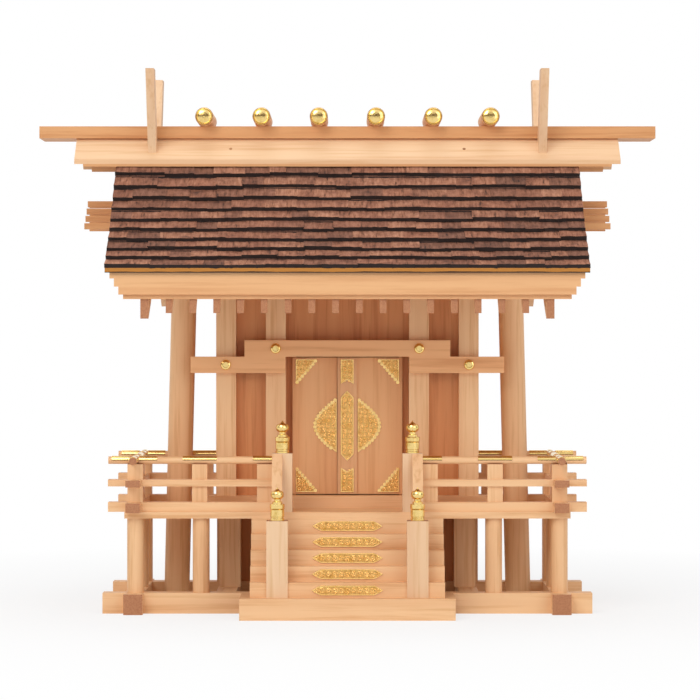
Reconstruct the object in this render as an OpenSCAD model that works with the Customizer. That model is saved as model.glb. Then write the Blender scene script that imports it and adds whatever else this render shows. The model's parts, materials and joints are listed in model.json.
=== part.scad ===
// Household shrine for one tablet, in the straight-lined style of an old raised granary.
// Millimetres. X runs to the right, Y to the back, Z up. The origin lies on the floor under the ridge.

/* [Base frame] */
// Length that the long beams run past the centre of the cross beams
base_over = 31.5; // [20:0.5:40]
// Width of every base beam
beam_w = 19; // [15:1:24]
// Height of every base beam
beam_h = 20.5; // [16:0.5:26]
// Distance from the ridge line forward to the face of the front beam
base_front = 103; // [98:1:110]
// Distance from the ridge line back to the face of the rear beam
base_back = 42; // [40:1:50]
// Width of the walk on the deck, from the body to the centre of the cross beams
walk_w = 79.2; // [70:0.2:90]
// Length that the cross beams run past the long beams
cross_over = 15; // [8:1:20]
// Inset of the floor bearers from the outer side of the body
bearer_inset = 22.3; // [20:0.1:26]
// Width of each floor bearer
bearer_w = 20; // [18:1:24]

/* [Deck] */
// Height of the top of the deck
deck_top = 101.6; // [92:0.2:112]
// Thickness of the deck boards
deck_t = 6.4; // [4:0.2:9]
// Length that the deck runs past the centre of the cross beams
deck_side_over = 9.5; // [8.5:0.5:14]
// Overhang of the deck past the front beam
deck_over = 2; // [0:0.5:6]
// Diameter of the round deck posts
deck_post_d = 17; // [13:0.5:18]
// Distance from the body to the centre of the inner deck posts
deck_post_off = 12.4; // [10:0.1:20]

/* [Railing] */
// Length that the long rails run past the centre of the cross rails
long_rail_over = 26.2; // [18:0.2:32]
// Length that the cross rails run past the centre of the long rails
rail_over = 26; // [18:1:32]
// Width of the bottom and middle rails
rail_w = 14.5; // [12:0.5:16]
// Height of the bottom rails
bottom_rail_h = 9.6; // [7:0.2:12]
// Height of the middle rails
middle_rail_h = 6.8; // [5:0.2:8]
// Gap between the bottom and middle rails
lower_gap = 15.8; // [12:0.2:20]
// Gap between the middle rail and the round top rail
upper_gap = 15.4; // [12:0.2:20]
// Diameter of the round top rails
top_rail_d = 7.6; // [6:0.2:10]
// Width of each rail post
rail_post_w = 15.3; // [10:0.1:16]
// Depth of each rail post
rail_post_t = 10; // [6:0.5:12]
// Distance from the body to the centre of the inner rail posts
rail_post_off = 13.7; // [12:0.1:20]
// Thickness of the brass saddle plates
saddle_t = 0.6; // [0.4:0.1:1]

/* [Stairs] */
// Distance from the middle to the side of the steps
step_half = 95.8; // [92:0.2:100]
// Depth of each tread that shows
tread = 13; // [11:0.5:14]
// Distance from the middle to the side of the stair base
stair_base_half = 105.7; // [103:0.5:112]
// Length of the stair base in front of the base frame
stair_base_depth = 68; // [66:1:76]
// Inner side of each lower newel
newel_in = 58.5; // [57:0.5:62]
// Side of each lower newel
newel_w = 21; // [18:0.5:22]
// Height of each lower newel above the stair base
newel_h = 75.3; // [65:0.5:85]
// Inner side of each upper newel
upper_newel_in = 55.2; // [54:0.2:58]
// Width of each upper newel
upper_newel_w = 20; // [17:0.5:22]
// Depth of each upper newel
upper_newel_t = 16; // [12:0.5:16]
// Height of each upper newel above the deck
upper_newel_h = 58.6; // [50:0.2:66]
// Width of each sloping handrail
handrail_w = 10.3; // [8:0.1:12]

/* [Body] */
// Side of each pillar
pillar = 20.3; // [17:0.1:21]
// Distance from the middle to the outer side of the front corner pillars
body_half = 134.3; // [131:0.1:138]
// Half of the depth of the body
body_deep = 38; // [36:1:40]
// Distance from the middle to the inner side of the door pillars
door_pillar_in = 63.1; // [62:0.1:65]
// Thickness of the wall boards
wall_t = 5; // [3:0.5:7]
// Height of the front sill
sill_h = 12.3; // [10:0.1:15]
// Length that the front sill runs past the body on each side
sill_over = 10.7; // [6:0.1:14]
// Height of the top of the pillars
pillar_top = 394; // [388:1:398]
// Height of the underside of the lintel
lintel_z = 256.3; // [250:0.1:262]
// Height of each of the two steps of the lintel
lintel_h = 16.7; // [14:0.1:19]
// Thickness of the lintel board
lintel_t = 8; // [5:0.5:9]
// Length that the lintel runs past the body on each side
lintel_over = 25.7; // [18:0.1:32]

/* [Doors] */
// Distance from the middle to the hinge pin of each door
hinge_x = 54; // [53.5:0.1:54.5]
// Distance from the ridge line forward to the hinge pins
hinge_y = 21.5; // [21.4:0.1:22]
// Thickness of each door leaf
leaf_t = 5; // [4:0.2:6]
// Distance from the middle to the left edge of the cover batten
meeting_x = 10.1; // [9:0.1:11]
// Width of the cover batten
batten_w = 19.7; // [17:0.1:21]
// Thickness of the cover batten
batten_t = 3; // [2:0.1:3.5]
// Clearance above and below each leaf
leaf_gap = 1.1; // [0.8:0.1:1.5]
// Radius of each hinge pin
pin_r = 1.5; // [1.2:0.1:1.8]
// Radial clearance round each hinge pin
pin_clear = 0.1; // [0.05:0.05:0.2]
// Thickness of the brass door plates
plate_t = 0.8; // [0.5:0.1:1.2]

/* [Roof] */
// Distance from the ridge line to the edge of the bark
eaves_y = 182; // [175:1:190]
// Height of the top of the bark at the eaves
eaves_z = 344; // [335:1:350]
// Slope of the bark at the eaves
eaves_slope = 0.6; // [0.56:0.01:0.62]
// Rise of the slope towards the ridge, per millimetre
roof_sweep = 0.00135; // [0.0012:0.00001:0.00138]
// Length that the bark runs past the bargeboards
bark_over = 42; // [36:1:50]
// Number of bark courses on each slope
courses = 10; // [8:1:12]
// Thickness of the bark
bark_t = 4.5; // [4:0.5:7]
// Inset of the top eaves layer from the edge of the bark
layer_inset = 4.4; // [2:0.2:8]
// Length that each eaves layer steps in under the one above
layer_step = 4.3; // [2:0.1:6]
// Gap between the last rafter and the bargeboard
rafter_end_gap = 16.75; // [10:0.25:20]
// Width of each rafter
rafter_w = 6.5; // [5:0.1:8]
// Upright depth of each rafter
rafter_h = 14.9; // [12:0.1:17]
// Distance from the body to the inner face of each bargeboard
barge_off = 59.7; // [50:0.1:64]
// Thickness of each bargeboard
barge_t = 8; // [6:0.5:10]
// Side of each gable rod
rod_w = 6.2; // [5:0.1:6.4]
// Length that the gable rods run past the bark
rod_over = 32; // [20:1:44]
// Radius of the foot of each ridge column
column_r = 13; // [11:0.5:14]

/* [Ridge] */
// Length that the ridge cap runs past the bark at each end
ridge_over = 80.4; // [60:0.2:95]
// Half of the width of the ridge cap
ridge_half_w = 27; // [25:0.5:27]
// Height of the underside of the ridge cap
ridge_z = 480.4; // [479.5:0.1:481.5]
// Thickness of the ridge cap
ridge_t = 12.3; // [9:0.1:15]
// Length that the ridge side boards run past the bark at each end
aori_over = 42.4; // [34:0.2:54]
// Distance from the inner face of the bargeboards to the centre of the chigi boards
chigi_off = 5.5; // [0:0.5:10]
// Thickness of the chigi boards
chigi_t = 8.5; // [6:0.1:10]
// Height of the top of the chigi boards
chigi_top = 547.7; // [535:0.1:560]
// Gap between the last billet and the chigi boards
billet_end_gap = 48.8; // [30:0.1:60]
// Radius of the katsuogi billets
billet_r = 9.2; // [7:0.1:11]
// Half of the length of each billet, without its caps
billet_half = 41; // [35:0.5:48]

/* [Hidden] */
$fn = 48;
deck_bottom = deck_top - deck_t;
cross_x = body_half + walk_w;
base_len = 2 * (cross_x + base_over);
bearer_in = body_half - bearer_inset;
deck_half = cross_x + deck_side_over;
deck_post_x = body_half + deck_post_off;
rail_out = cross_x + long_rail_over;
rail_post_x = body_half + rail_post_off;
sill_half = body_half + sill_over;
barge_in = body_half + barge_off;
bark_half = barge_in + bark_over;
layer_half = bark_half - layer_inset;
rod_out = bark_half + rod_over;
ridge_len = 2 * (bark_half + ridge_over);
aori_half = bark_half + aori_over;
chigi_x = barge_in + chigi_off;
billet_count = 6;
billet_pitch = (chigi_x - chigi_t / 2 - billet_end_gap) * 2 / (billet_count - 1);
front_beam_mid = -base_front + beam_w / 2;
rear_beam_mid = base_back - beam_w / 2;
side_mid = (front_beam_mid + rear_beam_mid) / 2;
deck_front = -base_front - deck_over;
deck_back = base_back + 3;
deck_joint = -20;
deck_post_ys = [front_beam_mid, side_mid, rear_beam_mid];
bottom_rail_top = deck_top + bottom_rail_h;
middle_rail_z = bottom_rail_top + lower_gap;
middle_rail_top = middle_rail_z + middle_rail_h;
top_rail_z = middle_rail_top + upper_gap + top_rail_d / 2;
top_rail_low = top_rail_z - top_rail_d / 2;
rail_front = front_beam_mid;
rail_rear = rear_beam_mid;
rail_ys = [rail_front, rail_rear];
rear_pillar_out = body_half + 1.7;
upper_newel_out = upper_newel_in + upper_newel_w;
upper_newel_y = deck_front + 1;
stair_front = -base_front - stair_base_depth;
stair_base_top = beam_h + 0.5;
step_count = 5;
riser = (deck_bottom - stair_base_top) / step_count;
step_back = -88;
top_riser_y = -106;
newel_front = top_riser_y - (step_count - 1) * tread - 2;
newel_back = newel_front + newel_w;
newel_mid_x = newel_in + newel_w / 2;
upper_newel_mid_x = upper_newel_in + upper_newel_w / 2;
newel_top = stair_base_top + newel_h;
upper_newel_top = deck_top + upper_newel_h;
handrail_h = 12;
sill_top = deck_top + sill_h;
sill_front = -body_deep - 5;
pillar_back = -body_deep + pillar;
panel_front = -body_deep + 11;
leaf_low = sill_top + leaf_gap;
leaf_high = lintel_z - leaf_gap;
leaf_front = -hinge_y - leaf_t / 2;
leaf_edge = 2.4;
meeting_gap = 0.4;
head_h = 12;
pin_len = 4;
layers = [0, 8.1, 16, 23.8, 30.6];
rear_inset = 30;
eaves_face = eaves_y - 4;
inner_layer_face = eaves_y - 8;
rafter_face = eaves_y - 10;
roof_flat = 466;
station = 14;
rafter_top = bark_t + layers[4];
rafter_low = rafter_top + rafter_h;
rafter_count = 8;
rafter_pitch = (barge_in - rafter_end_gap - rafter_w / 2) / (rafter_count - 0.5);
bark_inner = 44;
course_step = 2.2;
aori_y = [22, 50];
aori_drop = 23.2;
aori_t = 4.6;
aori_under_t = 2.5;
aori_slope = aori_drop / (aori_y[1] - aori_y[0]);
column_foot_x = body_half + 0.54 * walk_w;
column_top_x = column_foot_x - 10.2;
pole_z = 414;
pole_half_w = 9;
column_lean = atan((column_foot_x - column_top_x) / pole_z);
cap_t = 3;

// Height of the top of the bark at a distance from the ridge line
function bark_z(y) = eaves_z + eaves_slope * (eaves_y - y) + roof_sweep * pow(eaves_y - y, 2);

// The same curve in straight stretches between fixed stations, so that every layer lies on the next
function roof_z(y) = let (i = floor(y / station), f = y / station - i)
    bark_z(station * i) * (1 - f) + bark_z(station * (i + 1)) * f;

// Every station between two distances from the ridge line, and the two ends
function roof_stations(y_in, y_out) = concat([y_in],
    [for (i = [floor(y_in / station) + 1:ceil(y_out / station) - 1]) station * i], [y_out]);

// Points along the roof curve, lowered by a given depth
function roof_line(y_in, y_out, low) =
    [for (y = roof_stations(y_in, y_out)) [y, roof_z(y) - low]];

function backwards(points) = [for (i = [len(points) - 1:-1:0]) points[i]];

// A block between two corners
module block(low, high) {
    translate(low) cube(high - low);
}

module both_sides() {
    children();
    mirror([1, 0, 0]) children();
}

module front_and_rear() {
    children();
    mirror([0, 1, 0]) children();
}

// Runs a profile of (distance from the ridge, height) along X between two places
module along_x(x0, x1) {
    translate([x0, 0, 0]) rotate([90, 0, 90]) linear_extrude(x1 - x0) children();
}

// One slope of a roof layer, cut flat under the ridge
module roof_slab(half, y_in, y_out, top, low) {
    along_x(-half, half) intersection() {
        polygon(concat(roof_line(y_in, y_out, top), backwards(roof_line(y_in, y_out, low))));
        translate([0, roof_flat - 400]) square([300, 400]);
    }
}

module base_long_beams() {
    color("burlywood") difference() {
        for (y = [front_beam_mid, rear_beam_mid])
            block([-base_len / 2, y - beam_w / 2, 0], [base_len / 2, y + beam_w / 2, beam_h]);
        both_sides() block([cross_x - beam_w / 2, -base_len, beam_h / 2],
            [cross_x + beam_w / 2, base_len, beam_h + 1]);
    }
}

module base_cross_beams() {
    color("peru") difference() {
        both_sides() block([cross_x - beam_w / 2, -base_front - cross_over, 0],
            [cross_x + beam_w / 2, base_back + cross_over, beam_h]);
        for (y = [front_beam_mid, rear_beam_mid])
            block([-base_len, y - beam_w / 2, -1], [base_len, y + beam_w / 2, beam_h / 2]);
    }
}

module floor_bearers() {
    color("burlywood") both_sides()
        block([bearer_in, -base_front + beam_w, 0], [bearer_in + bearer_w, base_back - beam_w, beam_h]);
}

module stair_base() {
    color("burlywood")
        block([-stair_base_half, stair_front, 0], [stair_base_half, -base_front, stair_base_top]);
}

module deck_posts() {
    color("wheat") both_sides() {
        for (y = deck_post_ys) translate([cross_x - 1, y, beam_h])
            cylinder(h = deck_bottom - beam_h, d = deck_post_d);
        translate([deck_post_x, front_beam_mid, beam_h])
            cylinder(h = deck_bottom - beam_h, d = deck_post_d);
    }
}

module underfloor_posts() {
    color("peru") both_sides()
        block([body_half - 25, -body_deep, beam_h], [body_half - 3.4, pillar_back, deck_bottom]);
}

module deck_front_board() {
    color("burlywood") difference() {
        block([-deck_half, deck_front, deck_bottom], [deck_half, deck_joint, deck_top]);
        ridge_column_shape(0.3);
    }
}

module deck_side_boards() {
    color("burlywood") difference() {
        both_sides()
            block([rear_pillar_out, deck_joint, deck_bottom], [deck_half, deck_back, deck_top]);
        ridge_column_shape(0.3);
    }
}

// One step, notched where a lower newel stands in it
module stair_step(number) {
    front = top_riser_y - (step_count - number) * tread;
    low = stair_base_top + (number - 1) * riser;
    color("burlywood") difference() {
        block([-step_half, front, low], [step_half, step_back, low + riser]);
        both_sides() block([newel_in, newel_front - 5, 0], [newel_in + newel_w, newel_back, deck_top]);
    }
}

module stair_newels() {
    color("wheat") both_sides() {
        block([newel_in, newel_front, stair_base_top], [newel_in + newel_w, newel_back, newel_top]);
        block([upper_newel_in, upper_newel_y, deck_top],
            [upper_newel_out, upper_newel_y + upper_newel_t, upper_newel_top]);
    }
}

// Turned brass finial: a ringed drum, a collar, a neck and an onion bulb with a point
module finial() {
    rotate_extrude() polygon(concat(
        [[0, 0], [6.9, 0], [6.9, 1.8], [6.4, 2.3], [6.4, 3.6], [6.9, 4.1], [6.9, 10.6], [6.4, 11.1],
            [7.3, 12], [7.3, 15.6], [6.8, 16.4], [5, 16.4], [5, 18.4], [3.4, 19], [3.4, 21]],
        [for (a = [-55:15:50]) [3 + 3.5 * cos(a), 25.4 + 4.3 * sin(a)]],
        [[3.1, 29.4], [1.2, 31], [0, 33]]));
}

module newel_finials() {
    color("gold") both_sides() {
        translate([newel_mid_x, newel_front + newel_w / 2, newel_top]) finial();
        translate([upper_newel_mid_x, upper_newel_y + upper_newel_t / 2, upper_newel_top]) finial();
    }
}

module stair_handrails() {
    color("wheat") both_sides() along_x(upper_newel_out - handrail_w, upper_newel_out)
        polygon([[upper_newel_y, upper_newel_top - 0.5], [newel_back, newel_top - 0.5],
            [newel_back, newel_top - 0.5 - handrail_h],
            [upper_newel_y, upper_newel_top - 0.5 - handrail_h]]);
}

// Square long rails, front and rear, between an outer end and the newel or the body
module long_rail_bars(low, high) {
    both_sides() {
        block([upper_newel_out, rail_front - rail_w / 2, low], [rail_out, rail_front + rail_w / 2, high]);
        block([rear_pillar_out, rail_rear - rail_w / 2, low], [rail_out, rail_rear + rail_w / 2, high]);
    }
}

module cross_rail_bars(low, high) {
    both_sides() block([cross_x - rail_w / 2, rail_front - rail_over, low],
        [cross_x + rail_w / 2, rail_rear + rail_over, high]);
}

// The half that a long rail gives up where a cross rail passes over it
module lap_in_long(low, high, w) {
    both_sides() block([cross_x - w / 2, -base_len, (low + high) / 2], [cross_x + w / 2, base_len, high + 1]);
}

module lap_in_cross(low, high, w) {
    for (y = rail_ys) block([-base_len, y - w / 2, low - 1], [base_len, y + w / 2, (low + high) / 2]);
}

module long_bottom_rails() {
    color("burlywood") difference() {
        long_rail_bars(deck_top, bottom_rail_top);
        lap_in_long(deck_top, bottom_rail_top, rail_w);
    }
}

module long_middle_rails() {
    color("burlywood") difference() {
        long_rail_bars(middle_rail_z, middle_rail_top);
        lap_in_long(middle_rail_z, middle_rail_top, rail_w);
    }
}

module long_top_rails() {
    color("wheat") difference() {
        both_sides() {
            translate([upper_newel_out, rail_front, top_rail_z]) rotate([0, 90, 0])
                cylinder(h = rail_out - upper_newel_out, d = top_rail_d);
            translate([rear_pillar_out, rail_rear, top_rail_z]) rotate([0, 90, 0])
                cylinder(h = rail_out - rear_pillar_out, d = top_rail_d);
        }
        lap_in_long(top_rail_low, top_rail_z * 2 - top_rail_low, top_rail_d);
    }
}

module cross_bottom_rails() {
    color("peru") difference() {
        cross_rail_bars(deck_top, bottom_rail_top);
        lap_in_cross(deck_top, bottom_rail_top, rail_w);
    }
}

module cross_middle_rails() {
    color("peru") difference() {
        cross_rail_bars(middle_rail_z, middle_rail_top);
        lap_in_cross(middle_rail_z, middle_rail_top, rail_w);
    }
}

module cross_top_rails() {
    color("wheat") difference() {
        both_sides() translate([cross_x, rail_front - rail_over, top_rail_z]) rotate([-90, 0, 0])
            cylinder(h = rail_rear - rail_front + 2 * rail_over, d = top_rail_d);
        lap_in_cross(top_rail_low, top_rail_z * 2 - top_rail_low, top_rail_d);
    }
}

// One rail post in two lengths, below and above the middle rail
module rail_post(x, y, w, t) {
    translate([x - w / 2, y - t / 2, 0]) {
        block([0, 0, bottom_rail_top], [w, t, middle_rail_z]);
        block([0, 0, middle_rail_top], [w, t, top_rail_low]);
    }
}

module rail_posts() {
    color("tan") both_sides() {
        for (y = rail_ys) {
            rail_post(cross_x - 1, y, rail_post_w, rail_w);
            rail_post(rail_post_x, y, rail_post_w, rail_post_t);
        }
        rail_post(cross_x, side_mid, rail_post_t, rail_post_w);
        rail_post(upper_newel_out + rail_post_w / 2, rail_front, rail_post_w, rail_post_t);
    }
}

// Thin brass saddle over the top of a round rail, centred on a point and running along X
module saddle(length) {
    rotate([0, 90, 0]) difference() {
        cylinder(h = length, r = top_rail_d / 2 + saddle_t, center = true);
        cylinder(h = length + 2, r = top_rail_d / 2, center = true);
        translate([0, -20, -length]) cube([20, 40, 2 * length]);
    }
}

module rail_saddles() {
    arm = 18;
    long_arm = 34;
    off_corner = top_rail_d / 2 + 1;
    color("gold") both_sides() {
        for (y = rail_ys, side = [-1, 1])
            translate([cross_x + side * (off_corner + arm / 2), y, top_rail_z]) saddle(arm);
        translate([rail_post_x, rail_front, top_rail_z]) saddle(long_arm);
        translate([rear_pillar_out + 1 + long_arm / 2, rail_rear, top_rail_z]) saddle(long_arm);
        translate([upper_newel_out + 10, rail_front, top_rail_z]) saddle(19);
        for (y = rail_ys, side = [-1, 1])
            translate([cross_x, y + side * (off_corner + arm / 2), top_rail_z])
                rotate([0, 0, 90]) saddle(arm);
        translate([cross_x, side_mid, top_rail_z]) rotate([0, 0, 90]) saddle(long_arm);
    }
}

module front_sill() {
    color("peru") difference() {
        block([-sill_half, sill_front, deck_top], [sill_half, pillar_back, sill_top]);
        both_sides() translate([hinge_x, -hinge_y, leaf_low - pin_len])
            cylinder(h = 20, r = pin_r + pin_clear);
    }
}

module body_floor() {
    inner = rear_pillar_out - pillar;
    color("tan") union() {
        block([-rear_pillar_out, pillar_back, deck_bottom],
            [rear_pillar_out, body_deep - pillar, sill_top - 2]);
        block([-inner, 0, deck_bottom], [inner, body_deep - 3 - wall_t, sill_top - 2]);
    }
}

module pillars() {
    color("burlywood") both_sides() {
        block([body_half - pillar, -body_deep, sill_top], [body_half, pillar_back, pillar_top]);
        block([door_pillar_in, -body_deep, sill_top],
            [door_pillar_in + pillar, pillar_back, pillar_top]);
        block([rear_pillar_out - pillar, body_deep - pillar, beam_h],
            [rear_pillar_out, body_deep, pillar_top]);
    }
}

module front_panels() {
    color("sienna") {
        both_sides() block([door_pillar_in + pillar, panel_front, sill_top],
            [body_half - pillar, panel_front + wall_t, pillar_top]);
        block([-door_pillar_in, panel_front, lintel_z + head_h],
            [door_pillar_in, panel_front + wall_t, pillar_top]);
    }
}

module side_walls() {
    color("tan") both_sides() block([body_half - 3 - wall_t, pillar_back, sill_top - 2],
        [body_half - 3, body_deep - pillar, pillar_top]);
}

module back_wall() {
    inner = rear_pillar_out - pillar;
    color("tan") block([-inner, body_deep - 3 - wall_t, beam_h],
        [inner, body_deep - 3, pillar_top]);
}

module lintel_board() {
    outer = body_half + lintel_over;
    middle = (door_pillar_in + body_half + pillar / 2) / 2 + 1.2;
    low = lintel_z - lintel_h;
    high = lintel_z + lintel_h;
    color("burlywood") translate([0, -body_deep, 0]) rotate([90, 0, 0]) linear_extrude(lintel_t)
        polygon([[-outer, low], [-door_pillar_in, low], [-door_pillar_in, lintel_z],
            [door_pillar_in, lintel_z], [door_pillar_in, low], [outer, low], [outer, lintel_z],
            [middle, lintel_z], [middle, high], [-middle, high], [-middle, lintel_z],
            [-outer, lintel_z]]);
}

// Domed brass knob with a flat middle
module knob() {
    rotate([90, 0, 0]) rotate_extrude()
        polygon([[0, 0], [5.3, 0], [5.3, 0.8], [4.6, 2.2], [3.2, 2.8], [2.8, 2.3], [0, 2.3]]);
}

module lintel_knobs() {
    color("gold") both_sides() {
        translate([body_half - pillar / 2, -body_deep - lintel_t, lintel_z - lintel_h / 2]) knob();
        translate([door_pillar_in + pillar / 2, -body_deep - lintel_t, lintel_z + lintel_h / 2]) knob();
    }
}

module door_head() {
    color("peru") difference() {
        block([-door_pillar_in, -body_deep, lintel_z], [door_pillar_in, pillar_back, lintel_z + head_h]);
        both_sides() translate([hinge_x, -hinge_y, lintel_z - 1])
            cylinder(h = 1 + pin_len - leaf_gap, r = pin_r + pin_clear);
    }
}

module door_jambs() {
    color("sienna") both_sides() block([hinge_x - 2, pillar_back, sill_top],
        [door_pillar_in, pillar_back + wall_t, lintel_z + head_h]);
}

// One leaf between two edges, with its hinge pins at the top and the bottom
module leaf(pin_x, x0, x1) {
    block([x0, leaf_front, leaf_low], [x1, leaf_front + leaf_t, leaf_high]);
    translate([pin_x, -hinge_y, leaf_low - pin_len + 0.4])
        cylinder(h = leaf_high - leaf_low + 2 * (pin_len - 0.4), r = pin_r);
}

module left_door_leaf() {
    color("tan") leaf(-hinge_x, -hinge_x - leaf_edge, -meeting_x - meeting_gap);
}

module right_door_leaf() {
    color("tan") leaf(hinge_x, -meeting_x, hinge_x + leaf_edge);
}

module right_door_batten() {
    color("burlywood") block([-meeting_x, leaf_front - batten_t, leaf_low],
        [-meeting_x + batten_w, leaf_front, leaf_high]);
}

// Stands a flat outline of (x, z) up as a plate that reaches forward from a face
module upright_plate(face_y) {
    translate([0, face_y, 0]) rotate([90, 0, 0]) linear_extrude(plate_t) children();
}

// Corner plate and half of the middle plate of one leaf, drawn for the left one
module leaf_plates(inner_x) {
    corner_x = -hinge_x + 1;
    w = 21.5;
    h = 25;
    mid_z = (leaf_low + leaf_high) / 2;
    half_h = 27.5;
    bulge = 22.5;
    upright_plate(leaf_front) {
        polygon([[corner_x, leaf_high - 2], [corner_x + w, leaf_high - 2], [corner_x, leaf_high - 2 - h]]);
        polygon([[corner_x, leaf_low + 2], [corner_x, leaf_low + 2 + h], [corner_x + w, leaf_low + 2]]);
        polygon(concat([[inner_x, mid_z - half_h], [inner_x, mid_z + half_h]],
            [for (i = [1:7]) let (t = i / 8) [inner_x - bulge * sin(90 * t) , mid_z + half_h * (1 - t)]],
            [[inner_x - bulge, mid_z]],
            [for (i = [7:-1:1]) let (t = i / 8) [inner_x - bulge * sin(90 * t), mid_z - half_h * (1 - t)]]));
    }
}

module left_door_plates() {
    color("gold") leaf_plates(-meeting_x - 1);
}

// Three plates on the cover batten: notched ends and a long pointed middle
module batten_plates() {
    mid_x = -meeting_x + batten_w / 2;
    w = 6.6;
    h = 25;
    tip = 4;
    mid_z = (leaf_low + leaf_high) / 2;
    long_h = 36;
    upright_plate(leaf_front - batten_t) {
        polygon([[mid_x - w, leaf_high - 2], [mid_x + w, leaf_high - 2], [mid_x + w, leaf_high - 2 - h],
            [mid_x, leaf_high - 2 - h + tip], [mid_x - w, leaf_high - 2 - h]]);
        polygon([[mid_x - w, leaf_low + 2], [mid_x - w, leaf_low + 2 + h],
            [mid_x, leaf_low + 2 + h - tip], [mid_x + w, leaf_low + 2 + h], [mid_x + w, leaf_low + 2]]);
        polygon([[mid_x - w, mid_z - long_h + 7], [mid_x - w, mid_z + long_h - 7], [mid_x, mid_z + long_h],
            [mid_x + w, mid_z + long_h - 7], [mid_x + w, mid_z - long_h + 7], [mid_x, mid_z - long_h]]);
    }
}

module right_door_plates() {
    color("gold") {
        mirror([1, 0, 0]) leaf_plates(meeting_x - batten_w - 1);
        batten_plates();
    }
}

// Both ridge columns, thickened by a clearance when used as a cutter
module ridge_column_shape(extra) {
    both_sides() intersection() {
        translate([column_foot_x, 0, 0]) rotate([0, -column_lean, 0]) translate([0, 0, -20])
            cylinder(h = 500, r = column_r + extra);
        block([0, -body_deep, 0], [base_len, body_deep, pole_z]);
    }
}

module ridge_columns() {
    color("wheat") ridge_column_shape(0);
}

module wall_plates() {
    inner = body_deep - 14;
    color("tan") front_and_rear() along_x(-barge_in, barge_in) polygon([
        [inner, pillar_top], [body_deep, pillar_top],
        [body_deep, roof_z(body_deep) - rafter_low - 0.1], [inner, roof_z(inner) - rafter_low - 0.1]]);
}

module ridge_pole() {
    side_z = bark_z(pole_half_w) - rafter_low - 0.1;
    color("tan") along_x(-barge_in, barge_in) polygon([[-pole_half_w, pole_z], [pole_half_w, pole_z],
        [pole_half_w, side_z], [0.8, bark_z(0.8) - rafter_low - 0.3],
        [-0.8, bark_z(0.8) - rafter_low - 0.3], [-pole_half_w, side_z]]);
}

module rafters() {
    color("tan") both_sides() for (i = [0:rafter_count - 1]) translate([rafter_pitch * (i + 0.5), 0, 0]) {
        mirror([0, 1, 0]) roof_slab(rafter_w / 2, 1, rafter_face, rafter_top, rafter_low);
        roof_slab(rafter_w / 2, 1, rafter_face - rear_inset, rafter_top, rafter_low);
    }
}

// Upright depth of a bargeboard at a distance from the ridge line
function barge_depth(y) = 20.3 + (rafter_face - y) * 0.2;

// One bargeboard that ends at a given distance from the ridge line
module bargeboard(face) {
    top_line = roof_line(0.1, face, rafter_top);
    along_x(barge_in, barge_in + barge_t) polygon(concat(
        top_line, backwards([for (p = top_line) [p[0], p[1] - barge_depth(p[0])]])));
}

module bargeboards() {
    color("sienna") both_sides() {
        mirror([0, 1, 0]) bargeboard(rafter_face);
        bargeboard(rafter_face - rear_inset);
    }
}

module gable_rods() {
    start = barge_in + barge_t;
    color("peru") both_sides() front_and_rear() for (i = [0:3])
        translate([start, 10 + 6.3 * i - rod_w / 2, 413.3 - 7.8 * i - rod_w / 2])
            cube([rod_out + 0.6 * i - start, rod_w, rod_w]);
}

module eaves_layer(number, front_face, rear_face) {
    half = layer_half - layer_step * (number - 1);
    top = bark_t + layers[number - 1];
    low = bark_t + layers[number];
    color("burlywood") {
        mirror([0, 1, 0]) roof_slab(half, 2, front_face, top, low);
        roof_slab(half, 2, rear_face, top, low);
    }
}

// Bark in overlapping courses, each thickest at its lower edge
module bark() {
    run = (eaves_y - bark_inner) / courses;
    top = [for (i = [0:courses - 1], k = [0, 1]) let (y = eaves_y - run * (i + k))
        [y, bark_z(y) - (k == 1 ? course_step : 0)]];
    color("saddlebrown") along_x(-bark_half, bark_half)
        polygon(concat(top, roof_line(bark_inner, eaves_y, bark_t)));
}

// Height of the upper face of a ridge side board
function aori_z(y) = ridge_z - (y - aori_y[0]) * aori_slope;

// Sloping ridge board between two depths under the upper face
module sloping_board(half, top, low) {
    front_and_rear() along_x(-half, half) polygon([[aori_y[1], aori_z(aori_y[1]) - top],
        [aori_y[0] - top / aori_slope, ridge_z], [aori_y[0] - low / aori_slope, ridge_z],
        [aori_y[1], aori_z(aori_y[1]) - low]]);
}

module ridge_side_boards() {
    color("wheat") sloping_board(aori_half, 0, aori_t);
}

module ridge_under_boards() {
    color("burlywood") sloping_board(aori_half - 9, aori_t, aori_t + aori_under_t);
}

module ridge_core() {
    low = aori_t + aori_under_t;
    top_y = aori_y[0] - low / aori_slope;
    low_y = top_y + (ridge_z - roof_flat) / aori_slope;
    color("tan") along_x(-layer_half, layer_half)
        polygon([[-top_y, ridge_z], [top_y, ridge_z], [low_y, roof_flat], [-low_y, roof_flat]]);
}

module ridge_cap() {
    color("burlywood") block([-ridge_len / 2, -ridge_half_w, ridge_z],
        [ridge_len / 2, ridge_half_w, ridge_z + ridge_t]);
}

// Chigi boards: a leaning pair at each end, cut level at the top and to the ridge boards below
module chigi_boards() {
    lean = 0.46;
    front_y = 41.5;
    foot = [front_y, aori_z(front_y)];
    heel_y = ridge_half_w - 1.3;
    heel = [heel_y, aori_z(heel_y)];
    color("wheat") both_sides() front_and_rear() along_x(chigi_x - chigi_t / 2, chigi_x + chigi_t / 2)
        polygon([foot, heel, [ridge_half_w, ridge_z],
            [ridge_half_w + (chigi_top - ridge_z) * lean, chigi_top],
            [front_y + (chigi_top - foot[1]) * lean, chigi_top]]);
}

module katsuogi_billets() {
    color("wheat") for (i = [-(billet_count - 1) / 2:(billet_count - 1) / 2])
        translate([i * billet_pitch, -billet_half, ridge_z + ridge_t + billet_r]) rotate([-90, 0, 0])
            cylinder(h = 2 * billet_half, r = billet_r);
}

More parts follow.
